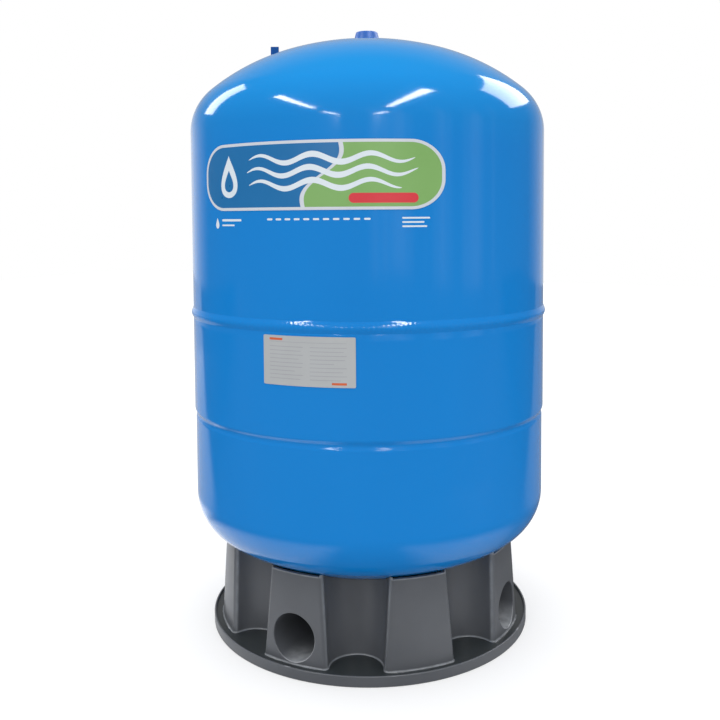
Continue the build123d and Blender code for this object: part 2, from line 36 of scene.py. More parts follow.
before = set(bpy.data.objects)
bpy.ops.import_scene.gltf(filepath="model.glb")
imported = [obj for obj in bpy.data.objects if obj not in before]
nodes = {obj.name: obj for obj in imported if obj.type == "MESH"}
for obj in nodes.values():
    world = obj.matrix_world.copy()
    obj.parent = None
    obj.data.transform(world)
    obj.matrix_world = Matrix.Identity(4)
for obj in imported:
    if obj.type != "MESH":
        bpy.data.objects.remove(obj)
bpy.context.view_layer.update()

MM = 0.001

# Steel shells, as the frame has them
SHEET = 2.0
LOWER_STEP = 1.7
UPPER_KNUCKLE = 82.1
UPPER_SHOULDER = 338.6
UPPER_CROWN = 451.8
CROWN_ANGLE = 17.5
LOWER_KNUCKLE = 74.9
LOWER_CROWN = 474.1
SHELL_RISE = 278.0
LOWER_TANGENT = 215.15
GROOVE_LEVEL = 341.15
BOSS_HOLE = 12.0
NECK_HOLE = 19.3
GROOVE_HEIGHT = 17.0
GROOVE_DEPTH = 3.0
JOGGLE_GAP = 0.3
JOGGLE_RISE = 7.0

# Girth weld
BEAD_RIPPLES = 270
BEAD_RIPPLE_SHARE = 0.035
BEAD_CLEARANCE = 0.12
BEAD_ROOT = 6.1

# Guard cap over the air valve
CAP_TOP_RADIUS = 17.3
CAP_BORE_RADIUS = 16.8
CAP_EDGE_ROUND = 1.2
CAP_DISH = 0.7
CAP_CROWN = 2.6

# Labels
LABEL_ANGLE = -79.5
FILM = 0.6
FILM_INSET = 0.02
FRONT_WIDTH = 349.0
FRONT_CORNER = 40.0
FRONT_BORDER = 4.0
DIVIDE_STROKE = 6.0
DROP_PLACE = -128.0
WAVE_LENGTH = 78.0
WAVE_HEIGHT = 5.5
WAVE_STROKE = 8.0
DASH_PITCH = 13.6
DASH_WIDTH = 8.5
LINE_PITCH = 5.4
LINE_STROKE = 1.0
COLUMN_LEFT = -56.0
COLUMN_RIGHT = 4.0

# Print: how far each layer of ink stands over its ground, and how deep it is sunk
FIRST_INK = 0.06
SECOND_INK = 0.1
THIRD_INK = 0.14
INK_ROOT = 0.05

# Pedestal: its eight lobes lean inwards, and a lobe's corner is an angle from the lobe's middle
LOBES = 8
LOBE_DRAFT = 3.3
LOBE_TOP = 150.0
CORNER_AT_LEDGE = 13.35
CORNER_AT_TOP = 10.79
LEDGE_LEVEL = 12.0
LEDGE_RADIUS = 251.0
PIPE_LEVEL = 49.5
TUNNEL_RADIUS = 33.8

# Studio, in metres
FLOOR_SIZE = 14.0
FLOOR_DROP = 0.0006
TUBE_HEIGHT = 2.2
TUBE_RADIANCE = 25.0
WINDOW_RADIANCE = 6.0

# Camera
CAMERA_AZIMUTH = 27.5
CAMERA_DISTANCE = 1413.0
CAMERA_HEIGHT = 643.0
CAMERA_PITCH = 3.19
CAMERA_ROLL = 0.35
CAMERA_LENS = 43.5
CAMERA_SHIFT = (-0.0113, -0.13)


def span(node):
    """Lowest and highest corner of a CAD node, in millimetres."""
    low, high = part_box(node)
    return np.array(low) / MM, np.array(high) / MM


# Meshes

def make_piece(name, points, faces, materials, sharp=35.0):
    """Puts points (mm) and faces in a new mesh, joins doubled points, and smooths it up to an angle."""
    mesh = bpy.data.meshes.new(name)
    mesh.from_pydata((np.asarray(points) * MM).tolist(), [], np.asarray(faces).tolist())
    work = bmesh.new()
    work.from_mesh(mesh)
    bmesh.ops.remove_doubles(work, verts=work.verts, dist=1e-6)
    work.to_mesh(mesh)
    work.free()
    mesh.shade_smooth()
    mesh.set_sharp_from_angle(angle=math.radians(sharp))
    for material in materials:
        mesh.materials.append(material)
    piece = bpy.data.objects.new(name, mesh)
    bpy.context.scene.collection.objects.link(piece)
    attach(piece, "root")
    return piece


def grid_faces(rows, columns, wrap_rows=False, wrap_columns=False, first=0):
    """Quads of a grid of points, numbered along each row; a wrapped side joins its last line to its first."""
    r = np.arange(rows if wrap_rows else rows - 1)[:, None]
    c = np.arange(columns if wrap_columns else columns - 1)[None, :]
    r2, c2 = (r + 1) % rows, (c + 1) % columns
    quads = np.stack(np.broadcast_arrays(r * columns + c, r * columns + c2,
                                         r2 * columns + c2, r2 * columns + c), axis=-1)
    return quads.reshape(-1, 4) + first


def revolve(name, profile, materials, steps=288, sharp=35.0):
    """A closed profile of (radius, height) carried round the axis: x = r cos a, y = r sin a, z = h."""
    profile = np.asarray(profile)
    angle = np.linspace(0, 2 * np.pi, steps, endpoint=False)
    r, h = profile[:, :1], profile[:, 1:]
    height = np.broadcast_to(h, (len(profile), steps))
    points = np.stack([r * np.cos(angle), r * np.sin(angle), height], axis=-1)
    faces = grid_faces(len(profile), steps, wrap_rows=True, wrap_columns=True)
    return make_piece(name, points.reshape(-1, 3), faces, materials, sharp)


def dome_line(radius, tangent, arcs, inset, upward, steps):
    """Arcs from the cylinder's edge to the axis: each starts where the last ended, with the same heading."""
    side = 1 if upward else -1
    centre = np.array([radius - arcs[0][0], tangent])
    angle, lines = 0.0, []
    for number, (arc_radius, sweep) in enumerate(arcs):
        turn = np.radians(np.linspace(angle, angle + sweep, steps))
        way = np.stack([np.cos(turn), side * np.sin(turn)], axis=-1)
        lines.append((centre + (arc_radius - inset) * way)[1 if number else 0:])
        if number + 1 < len(arcs):
            centre = centre + (arc_radius - arcs[number + 1][0]) * way[-1]
        angle += sweep
    return np.concatenate(lines)


def closed_sheet(front, back):
    """Points and faces of a thin solid between two grids of points, closed round its edge."""
    rows, columns = front.shape[:2]
    outer = grid_faces(rows, columns)
    inner = grid_faces(rows, columns, first=rows * columns)[:, ::-1]
    index = np.arange(rows * columns).reshape(rows, columns)
    rim = np.concatenate([index[0], index[1:, -1], index[-1, -2::-1], index[-2:0:-1, 0]])
    after = np.roll(rim, -1)
    side = np.stack([after, rim, rim + rows * columns, after + rows * columns], axis=-1)
    points = np.concatenate([front.reshape(-1, 3), back.reshape(-1, 3)])
    return points, np.concatenate([outer, inner, side])


# Materials

def srgb(code):
    """An sRGB hex colour as linear light."""
    value = np.array([int(code[i:i + 2], 16) for i in (0, 2, 4)]) / 255
    linear = np.where(value <= 0.04045, value / 12.92, ((value + 0.055) / 1.055) ** 2.4)
    return (*linear.tolist(), 1.0)


def add_node(tree, kind, inputs=None, **settings):
    """Adds a node, sets its fields, and fills its inputs with values or links from other nodes' sockets."""
    node = tree.nodes.new(kind)
    for field, value in settings.items():
        setattr(node, field, value)
    for socket, value in (inputs or {}).items():
        if isinstance(value, bpy.types.NodeSocket):
            tree.links.new(value, node.inputs[socket])
        else:
            node.inputs[socket].default_value = value
    return node


def start_material(name):
    """An empty material with its output, and object coordinates in millimetres."""
    material = bpy.data.materials.new(name)
    material.use_nodes = True
    tree = material.node_tree
    tree.nodes.clear()
    place = add_node(tree, "ShaderNodeTexCoord").outputs["Object"]
    mm = add_node(tree, "ShaderNodeMapping", {"Vector": place, "Scale": (1000, 1000, 1000)})
    return material, tree, mm.outputs["Vector"]


def end_material(tree, **inputs):
    """Closes a material with its surface shader; underscores in an input's name stand for spaces."""
    values = {name.replace("_", " "): value for name, value in inputs.items()}
    surface = add_node(tree, "ShaderNodeBsdfPrincipled", values)
    add_node(tree, "ShaderNodeOutputMaterial", {"Surface": surface.outputs["BSDF"]})


def enamel(name, colour, deep, crown, peel=0.0016, waves=0.16):
    """Sprayed and baked enamel on drawn sheet steel. It is glossy with faint orange peel, and the sheet under
    it is not quite true, so that reflections waver along the wall. Toward the crown the tint blends into a
    crown colour, which paints in the light that falls there from above."""
    material, tree, mm = start_material(name)
    tall = add_node(tree, "ShaderNodeMapping", {"Vector": mm, "Scale": (1, 1, 0.3)})
    shade = add_node(tree, "ShaderNodeTexNoise",
                     {"Vector": tall.outputs[0], "Scale": 1 / 120, "Detail": 2.0})
    tint = add_node(tree, "ShaderNodeMix",
                    {"Factor": shade.outputs["Fac"], "A": srgb(deep), "B": srgb(colour)}, data_type="RGBA")
    parts = add_node(tree, "ShaderNodeSeparateXYZ", {"Vector": mm})
    # Painted light: from 740 to 860 mm up the tint turns to the crown colour, for the light from above
    height = add_node(tree, "ShaderNodeMapRange",
                      {"Value": parts.outputs["Z"], "From Min": 740.0, "From Max": 860.0})
    tint_with_crown_light = add_node(tree, "ShaderNodeMix", {"Factor": height.outputs[0], "A": tint.outputs["Result"],
                                            "B": srgb(crown)}, data_type="RGBA")
    wave = add_node(tree, "ShaderNodeTexNoise",
                    {"Vector": tall.outputs[0], "Scale": 1 / 55, "Detail": 1.0})
    grain = add_node(tree, "ShaderNodeTexNoise", {"Vector": mm, "Scale": 1 / 3.0, "Detail": 1.0})
    sheet = add_node(tree, "ShaderNodeBump",
                     {"Height": wave.outputs["Fac"], "Strength": 1.0, "Distance": waves * MM})
    skin = add_node(tree, "ShaderNodeBump", {"Height": grain.outputs["Fac"], "Strength": 1.0,
                                             "Distance": peel * MM, "Normal": sheet.outputs["Normal"]})
    gloss = add_node(tree, "ShaderNodeMapRange",
                     {"Value": shade.outputs["Fac"], "To Min": 0.07, "To Max": 0.12})
    end_material(tree, Base_Color=tint_with_crown_light.outputs["Result"], Roughness=gloss.outputs["Result"],
                 Normal=skin.outputs["Normal"], IOR=1.5)
    return material


def moulding(name, colour, deep, rough, grain_size=0.9, grain_depth=0.02, marks=None):
    """Injection-moulded plastic from a spark-eroded mould: satin, with an even fine grain and faint
    cloudiness. Marks, if given, is a function that lays painted light and shade over the tint."""
    material, tree, mm = start_material(name)
    cloud = add_node(tree, "ShaderNodeTexNoise", {"Vector": mm, "Scale": 1 / 35, "Detail": 3.0})
    tint = add_node(tree, "ShaderNodeMix",
                    {"Factor": cloud.outputs["Fac"], "A": srgb(deep), "B": srgb(colour)}, data_type="RGBA")
    grain = add_node(tree, "ShaderNodeTexNoise", {"Vector": mm, "Scale": 1 / grain_size, "Detail": 2.0})
    bump = add_node(tree, "ShaderNodeBump", {"Height": grain.outputs["Fac"], "Strength": 1.0,
                                             "Distance": grain_depth * MM})
    gloss = add_node(tree, "ShaderNodeMapRange", {"Value": cloud.outputs["Fac"], "To Min": rough - 0.05,
                                                  "To Max": rough + 0.05})
    shown = marks(tree, mm, tint.outputs["Result"]) if marks else tint.outputs["Result"]
    end_material(tree, Base_Color=shown, Roughness=gloss.outputs["Result"],
                 Normal=bump.outputs["Normal"], IOR=1.5)
    return material


def mask(tree, *limits):
    """How far a point lies inside all its limits. A limit is a value with a start and an end: it rises smoothly
    from 0 at its start to 1 at its end, whichever of them is higher, and the rises are multiplied."""
    total = None
    for value, start, end in limits:
        share = add_node(tree, "ShaderNodeMapRange", {"Value": value, "From Min": start, "From Max": end},
                         interpolation_type="SMOOTHSTEP").outputs[0]
        total = share if total is None else add_node(
            tree, "ShaderNodeMath", {0: total, 1: share}, operation="MULTIPLY").outputs[0]
    return total


def pedestal_painted_shading(tree, mm, tint):
    """Painted shade darkens the ledge of the foot, and painted light lies pale low in the pipe tunnels, in the
    front one toward its right. Painted highlights lighten the lobes' corners, their rims and the rounds at
    their feet. A corner is where lobe and flute meet in plan."""
    parts = add_node(tree, "ShaderNodeSeparateXYZ", {"Vector": mm})
    x, y, z = [parts.outputs[axis] for axis in "XYZ"]
    rim = pedestal_high[2] - 2.4
    flat = add_node(tree, "ShaderNodeVectorMath", {0: mm, 1: (1, 1, 0)}, operation="MULTIPLY").outputs[0]
    radius = add_node(tree, "ShaderNodeVectorMath", {0: flat}, operation="LENGTH").outputs["Value"]
    patches = add_node(tree, "ShaderNodeTexNoise", {"Vector": mm, "Scale": 1 / 14, "Detail": 3.0})
    uneven = add_node(tree, "ShaderNodeMapRange", {"Value": patches.outputs["Fac"], "From Min": 0.35,
                                                   "From Max": 0.6, "To Min": 0.55, "To Max": 1.0})

    # Painted shade: the ledge under the tank's overhang is darkened
    painted_ledge_shade = mask(tree, (z, LEDGE_LEVEL + 0.35, LEDGE_LEVEL + 0.15), (z, LEDGE_LEVEL - 0.5, LEDGE_LEVEL - 0.2),
                 (radius, LEDGE_RADIUS + 0.6, LEDGE_RADIUS - 0.2))

    # The tunnels run along x and y, so the lesser distance is across the tunnel and the greater along it
    aside = [add_node(tree, "ShaderNodeMath", {0: side}, operation="ABSOLUTE").outputs[0] for side in (x, y)]
    across, along = [add_node(tree, "ShaderNodeMath", {0: aside[0], 1: aside[1]}, operation=choice).outputs[0]
                     for choice in ("MINIMUM", "MAXIMUM")]
    level = add_node(tree, "ShaderNodeMath", {0: z, 1: PIPE_LEVEL}, operation="SUBTRACT").outputs[0]
    section = add_node(tree, "ShaderNodeCombineXYZ", {0: across, 1: level}).outputs[0]
    off_axis = add_node(tree, "ShaderNodeVectorMath", {0: section}, operation="LENGTH").outputs["Value"]
    # Painted light: a pale patch low in each tunnel, leaning toward +x in the tunnels along y, for the lit
    # lower right wall of the front one
    lit_side_shift = add_node(tree, "ShaderNodeMath", {0: x, 1: mask(tree, (aside[0], 60.0, 45.0))},
                     operation="MULTIPLY").outputs[0]
    lit_side_level = add_node(tree, "ShaderNodeMath", {0: lit_side_shift, 1: -0.9, 2: level}, operation="MULTIPLY_ADD").outputs[0]
    painted_tunnel_light = mask(tree, (off_axis, TUNNEL_RADIUS + 1.3, TUNNEL_RADIUS + 0.7), (lit_side_level, -6.0, -36.0),
                (along, 165.0, 236.0))

    # The bearing is folded at each lobe's and each flute's middle, and set against that of the corner
    bearing = add_node(tree, "ShaderNodeMath", {0: y, 1: x}, operation="ARCTAN2").outputs[0]
    turned = add_node(tree, "ShaderNodeMath", {0: bearing, 1: math.pi / LOBES}, operation="PINGPONG").outputs[0]
    corner = add_node(tree, "ShaderNodeMapRange", {"Value": z, "From Min": LEDGE_LEVEL, "From Max": LOBE_TOP,
                                                   "To Min": math.radians(CORNER_AT_LEDGE),
                                                   "To Max": math.radians(CORNER_AT_TOP)}).outputs[0]
    apart = add_node(tree, "ShaderNodeMath", {0: turned, 1: corner}, operation="SUBTRACT").outputs[0]
    apart = add_node(tree, "ShaderNodeMath", {0: apart}, operation="ABSOLUTE").outputs[0]
    apart = add_node(tree, "ShaderNodeMath", {0: apart, 1: radius}, operation="MULTIPLY").outputs[0]
    drafted = add_node(tree, "ShaderNodeMath", {0: z, 1: math.tan(math.radians(LOBE_DRAFT)), 2: radius},
                       operation="MULTIPLY_ADD").outputs[0]
    outward = [(drafted, 233.0, 237.0), (drafted, 246.0, 243.0)]
    # Painted highlights: the lobes' corners, their rims and the rounds at their feet are lightened
    painted_edge_highlight = mask(tree, (apart, 5.0, 1.0), *outward, (z, LEDGE_LEVEL, LEDGE_LEVEL + 2.0))
    rims = mask(tree, (z, rim - 2.6, rim - 1.0), *outward)
    feet = mask(tree, (z, LEDGE_LEVEL + 0.2, LEDGE_LEVEL + 0.7), (z, LEDGE_LEVEL + 3.2, LEDGE_LEVEL + 2.0),
                (radius, LEDGE_RADIUS - 1.0, LEDGE_RADIUS - 2.0))
    for other in (rims, feet):
        painted_edge_highlight = add_node(tree, "ShaderNodeMath", {0: painted_edge_highlight, 1: other}, operation="MAXIMUM").outputs[0]

    painted_tunnel_light, painted_edge_highlight = [add_node(tree, "ShaderNodeMath", {0: share, 1: uneven.outputs[0]},
                           operation="MULTIPLY").outputs[0] for share in (painted_tunnel_light, painted_edge_highlight)]
    # Painted shade on the ledge, painted light in the tunnels and painted highlights on the edges, laid over
    # the tint
    for share, colour in ((painted_ledge_shade, "2c3133"), (painted_tunnel_light, "999ca0"), (painted_edge_highlight, "7b7f84")):
        tint = add_node(tree, "ShaderNodeMix", {"Factor": share, "A": tint, "B": srgb(colour)},
                        data_type="RGBA").outputs["Result"]
    return tint


def metal(name, colour, deep, rough, grain=(1, 1, 1), grain_size=0.8, grain_depth=0.004):
    """Bare or plated metal. Its grain follows how it was made: stretched for turning, even for plating."""
    material, tree, mm = start_material(name)
    lay = add_node(tree, "ShaderNodeMapping", {"Vector": mm, "Scale": grain})
    cloud = add_node(tree, "ShaderNodeTexNoise", {"Vector": mm, "Scale": 1 / 12, "Detail": 3.0})
    tint = add_node(tree, "ShaderNodeMix",
                    {"Factor": cloud.outputs["Fac"], "A": srgb(deep), "B": srgb(colour)}, data_type="RGBA")
    lines = add_node(tree, "ShaderNodeTexNoise",
                     {"Vector": lay.outputs[0], "Scale": 1 / grain_size, "Detail": 2.0})
    bump = add_node(tree, "ShaderNodeBump", {"Height": lines.outputs["Fac"], "Strength": 1.0,
                                             "Distance": grain_depth * MM})
    gloss = add_node(tree, "ShaderNodeMapRange", {"Value": cloud.outputs["Fac"], "To Min": rough - 0.06,
                                                  "To Max": rough + 0.06})
    end_material(tree, Base_Color=tint.outputs["Result"], Roughness=gloss.outputs["Result"], Metallic=1.0,
                 Normal=bump.outputs["Normal"])
    return material


pedestal_high = span("pedestal_base")[1]

# The vessel's coat is deep and glossy. The lug's copy of it is painted darker, as painted shade on the lug
BLUE_ENAMEL = enamel("baked_blue_enamel", "0a7bc8", "0976c2", "0685cc")
LUG_PAINTED_SHADE_ENAMEL = enamel("painted_shade_enamel_on_lug", "0a5aa0", "085294", "0a4f92")
# Polypropylene is satin and faintly cloudy, polyethylene smooth and waxy, nylon finer and darker
GREY_MOULDING = moulding("grey_polypropylene_moulding", "575a5f", "505358", 0.38, marks=pedestal_painted_shading)
BLUE_PLASTIC = moulding("blue_polyethylene_cap", "0464be", "045eb4", 0.4, 0.7, 0.008)
BLACK_PLASTIC = moulding("black_nylon_cap", "1e1f21", "191a1c", 0.45, 0.6, 0.01)
LINER_PLASTIC = moulding("white_polypropylene_liner", "d9dbd8", "cfd1ce", 0.4, 1.2, 0.01)
# Press-cured rubber is dull, with a coarser grain
RUBBER = moulding("black_butyl_rubber", "26262a", "202023", 0.7, 1.0, 0.03)
# Calendered vinyl and the inks on it are smooth, with a soft shine
PALE_VINYL = moulding("pale_vinyl_film", "c6ccd4", "c0c6cf", 0.3, 2.5, 0.002)
WHITE_INK = moulding("white_ink_on_vinyl", "d3dce4", "cdd7df", 0.3, 2.5, 0.002)
BLUE_INK = moulding("blue_ink_on_vinyl", "0a69a4", "09649d", 0.3, 2.5, 0.002)
GREEN_INK = moulding("green_ink_on_vinyl", "7ba861", "76a25c", 0.3, 2.5, 0.002)
RED_INK = moulding("red_ink_on_vinyl", "cf3540", "c8303b", 0.3, 2.5, 0.002)
# Paper film and the inks on it are matt
PAPER_FILM = moulding("matt_paper_film", "a9acae", "a3a6a8", 0.5, 0.8, 0.004)
GREY_INK = moulding("grey_ink_on_paper", "9a9ca2", "94969c", 0.5, 0.8, 0.004)
ORANGE_INK = moulding("orange_ink_on_paper", "c9582a", "c25226", 0.5, 0.8, 0.004)
# Drawn tube and zinc plate are evenly dull, and turned brass has fine rings round its axis
STAINLESS = metal("stainless_steel_tube", "c6c8ca", "b6b8ba", 0.32)
ZINC_STEEL = metal("zinc_plated_steel", "b3b6b8", "9ea2a5", 0.38)
BRASS = metal("turned_brass", "cfa957", "c09a4a", 0.28, (1, 1, 6), 0.5)

# The CAD nodes keep their meshes and take these materials
for slot_material, names in [
    (BLUE_ENAMEL, ["upper_shell", "lower_shell", "girth_weld"]),
    (LUG_PAINTED_SHADE_ENAMEL, ["hanger_lug"]),
    (BLUE_PLASTIC, ["valve_guard_cap"]),
    (GREY_MOULDING, ["pedestal_base"]),
    (PALE_VINYL, ["front_label"]),
    (PAPER_FILM, ["data_label"]),
    (STAINLESS, ["inlet_elbow", "inlet_collar"]),
    (ZINC_STEEL, ["base_retainer", "clench_ring", "valve_boss"]),
    (BRASS, ["liner_nut", "valve_stem", "valve_core"]),
    (RUBBER, ["diaphragm", "inlet_seal", "valve_seal"]),
    (LINER_PLASTIC, ["water_liner"]),
    (BLACK_PLASTIC, ["valve_dust_cap"]),
]:
    for node_name in names:
        for place in nodes[node_name].material_slots:
            place.material = slot_material


# Steel vessel
upper_low, upper_high = span("upper_shell")
lower_high = span("lower_shell")[1]
weld_low, weld_high = span("girth_weld")
tank_radius = upper_high[0]
lower_radius = tank_radius - LOWER_STEP
seam = upper_low[2]
upper_tangent = seam + SHELL_RISE

crown_offset = (UPPER_CROWN - UPPER_SHOULDER) * math.sin(math.radians(CROWN_ANGLE))
shoulder_angle = math.degrees(math.asin((tank_radius - UPPER_KNUCKLE - crown_offset)
                                        / (UPPER_SHOULDER - UPPER_KNUCKLE)))
bottom_angle = math.degrees(math.asin((lower_radius - LOWER_KNUCKLE) / (LOWER_CROWN - LOWER_KNUCKLE)))
upper_arcs = [(UPPER_KNUCKLE, 90 - shoulder_angle), (UPPER_SHOULDER, shoulder_angle - CROWN_ANGLE),
              (UPPER_CROWN, CROWN_ANGLE)]
lower_arcs = [(LOWER_KNUCKLE, 90 - bottom_angle), (LOWER_CROWN, bottom_angle)]


def dome_skin(radius, tangent, arcs, inset, upward, steps, hole):
    """A dome's line from its tangent point inwards, ending on the hole's edge."""
    line = dome_line(radius, tangent, arcs, inset, upward, steps)
    kept = line[line[:, 0] > hole]
    share = (kept[-1, 0] - hole) / (kept[-1, 0] - line[len(kept), 0])
    return np.concatenate([kept, [kept[-1] + share * (line[len(kept)] - kept[-1])]])


def groove_line(levels, inset):
    """The lower wall's radius at each level: straight above and below, with a cosine-shaped dip at the groove
    and a step of the lower radius across it."""
    t = np.clip((levels - GROOVE_LEVEL) / (GROOVE_HEIGHT / 2), -1, 1)
    step = LOWER_STEP * (0.5 - 0.5 * np.sin(np.pi / 2 * t))
    dip = (GROOVE_DEPTH - LOWER_STEP / 2) * (0.5 + 0.5 * np.cos(np.pi * t)) ** 1.2
    return tank_radius - inset - step - dip


def wall_levels(top, bottom, steps):
    """Levels from top to bottom, spaced closely at the groove."""
    groove = np.linspace(GROOVE_LEVEL + GROOVE_HEIGHT / 2, GROOVE_LEVEL - GROOVE_HEIGHT / 2, 33)
    above = np.linspace(top, groove[0], steps, endpoint=False)
    below = np.linspace(groove[-1], bottom, steps + 1)[1:]
    return np.concatenate([above, groove, below])


outer = dome_skin(tank_radius, upper_tangent, upper_arcs, 0, True, 34, BOSS_HOLE)
inner = dome_skin(tank_radius, upper_tangent, upper_arcs, SHEET, True, 20, BOSS_HOLE)
wall = np.stack([np.full(13, tank_radius), np.linspace(seam, upper_tangent, 13, endpoint=False)], axis=-1)
upper_profile = np.concatenate([wall, outer, inner[::-1], [[tank_radius - SHEET, seam]]])
upper_shell = revolve("upper_shell_skin", upper_profile, [BLUE_ENAMEL], 360)
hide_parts("upper_shell")

# The joggle tucks the lower rim inside the upper shell, behind the weld
joggle_foot = weld_low[2]
joggle_top = joggle_foot + JOGGLE_RISE
rim_radius = tank_radius - SHEET - JOGGLE_GAP
levels = wall_levels(joggle_foot, LOWER_TANGENT, 12)
skin = np.stack([groove_line(levels, 0), levels], axis=-1)
outer = dome_skin(lower_radius, LOWER_TANGENT, lower_arcs, 0, False, 40, NECK_HOLE)
inner = dome_skin(lower_radius, LOWER_TANGENT, lower_arcs, SHEET, False, 24, NECK_HOLE)
lining = np.stack([groove_line(levels, SHEET), levels], axis=-1)
lower_profile = np.concatenate([
    [[rim_radius, lower_high[2]], [rim_radius, joggle_top]], skin, outer[1:],
    inner[::-1], lining[::-1][1:], [[rim_radius - SHEET, joggle_top], [rim_radius - SHEET, lower_high[2]]],
])[::-1]
lower_shell = revolve("lower_shell_skin", lower_profile, [BLUE_ENAMEL], 360)
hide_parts("lower_shell")


def weld_bead():
    """The girth weld: its crown is a cosine hump between its toes, and fine ripples run round it, bent back a
    little at the toes. r = wall + hump(t) * (1 + share * cos(n a + 3 t^2)), with the root filled behind."""
    steps = 8 * BEAD_RIPPLES
    angle = np.linspace(0, 2 * np.pi, steps, endpoint=False)
    t = np.linspace(-1, 1, 17)
    bulge = weld_high[0] - tank_radius - BEAD_CLEARANCE
    hump = bulge * (0.5 + 0.5 * np.cos(np.pi * t)) ** 0.62
    level = (weld_low[2] + weld_high[2]) / 2 + t * (weld_high[2] - weld_low[2]) / 2
    ripple = 1 + BEAD_RIPPLE_SHARE * np.cos(BEAD_RIPPLES * angle[None, :] + 3.0 * t[:, None] ** 2)
    radius = tank_radius + hump[:, None] * ripple
    height = np.broadcast_to(level[:, None], radius.shape)
    inside = tank_radius - SHEET
    root = np.array([[tank_radius, seam], [inside, seam], [inside, weld_low[2] + BEAD_ROOT]])
    radius = np.concatenate([radius, np.broadcast_to(root[:, :1], (3, steps))])
    height = np.concatenate([height, np.broadcast_to(root[:, 1:], (3, steps))])
    points = np.stack([radius * np.cos(angle), radius * np.sin(angle), height], axis=-1)
    faces = grid_faces(len(radius), steps, wrap_rows=True, wrap_columns=True)
    return make_piece("girth_weld_bead", points.reshape(-1, 3), faces, [BLUE_ENAMEL])


bead = weld_bead()
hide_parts("girth_weld")


# Guard cap over the air valve
cap_low, cap_high = span("valve_guard_cap")


def rounded_corner(before, corner, after, radius, steps=7):
    """Points of an arc that rounds a corner between two straight lines, tangent to both."""
    a, b = np.subtract(before, corner), np.subtract(after, corner)
    a, b = a / np.linalg.norm(a), b / np.linalg.norm(b)
    half = math.acos(float(np.clip(a @ b, -1, 1))) / 2
    middle = np.add(corner, (a + b) / np.linalg.norm(a + b) * radius / math.sin(half))
    start = np.add(corner, a * radius / math.tan(half)) - middle
    end = np.add(corner, b * radius / math.tan(half)) - middle
    t = np.linspace(0, 1, steps)[:, None]
    way = (1 - t) * start + t * end
    return middle + radius * way / np.linalg.norm(way, axis=1, keepdims=True)


def guard_cap():
    """The section of the valve's cover: from its foot up a tapered wall, over a rounded edge to a slightly
    dished top, and back down its bore."""
    foot, top = cap_low[2], cap_high[2]
    wide, narrow, bore = cap_high[0], CAP_TOP_RADIUS, CAP_BORE_RADIUS
    edge = rounded_corner((wide, foot), (narrow, top), (0, top), CAP_EDGE_ROUND)
    return np.concatenate([
        [[wide - 0.5, foot], [wide, foot + 0.5], [wide - 0.15, foot + 2.0]], edge,
        [[narrow - 4.4, top], [narrow - 5.2, top - CAP_DISH], [0, top - CAP_DISH],
         [0, top - CAP_CROWN], [narrow - CAP_CROWN, top - CAP_CROWN], [bore, foot + 4.0], [bore, foot]],
    ])


cap = revolve("guard_cap", guard_cap(), [BLUE_PLASTIC], 144, 40.0)
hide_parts("valve_guard_cap")


# Labels, as films with thin layers of ink
front_low, front_high = span("front_label")
data_low, data_high = span("data_label")
front_radius = tank_radius + FILM


def wrapped(across, level, radius):
    """Places points given by the distance round the wall and the level on a cylinder about the axis."""
    angle = math.radians(LABEL_ANGLE) + across / tank_radius
    return np.stack([radius * np.cos(angle), radius * np.sin(angle), level], axis=-1)


def ink_field(across, level, lift, ground=front_radius):
    """One printed field from grids of distance and level, with its back sunk in what it is printed on."""
    front = wrapped(across, level, ground + lift)
    back = wrapped(across, level, ground - INK_ROOT)
    return closed_sheet(front, back)


def print_on(name, fields, material, lift, ground=front_radius):
    """Several printed fields of one ink as one piece."""
    points, faces, first = [], [], 0
    for across, level in fields:
        p, f = ink_field(across, level, lift, ground)
        points.append(p)
        faces.append(f + first)
        first += len(p)
    piece = make_piece(name, np.concatenate(points), np.concatenate(faces), [material], 30.0)
    return piece


def rows_between(left, right, level, columns=60):
    """A field whose rows run from left to right: both are given for each level."""
    t = np.linspace(0, 1, columns)[None, :]
    across = left[:, None] * (1 - t) + right[:, None] * t
    return across, np.broadcast_to(level[:, None], across.shape)


def columns_between(across, lower, upper, rows=6):
    """A field whose columns run from lower to upper: both are given for each distance round the wall."""
    t = np.linspace(0, 1, rows)[:, None]
    level = lower[None, :] * (1 - t) + upper[None, :] * t
    return np.broadcast_to(across[None, :], level.shape), level


middle = (front_low[2] + front_high[2]) / 2
half_height = (front_high[2] - front_low[2]) / 2 - FRONT_BORDER


def edge_reach(level, border=FRONT_BORDER):
    """Distance round the wall from the label's middle to its side, less a border, with round corners."""
    corner = FRONT_CORNER - border
    over = np.clip(np.abs(level - middle) - (half_height + FRONT_BORDER - FRONT_CORNER), 0, corner)
    straight = FRONT_WIDTH / 2 - FRONT_CORNER + np.sqrt(corner ** 2 - over ** 2)
    return tank_radius * np.arcsin(straight / front_radius)


def divide(level):
    """The wave that parts the two colours: a leaning line with one swell."""
    t = (level - middle) / half_height
    return 22.0 + 26.0 * t + 11.0 * np.sin(np.pi * t)


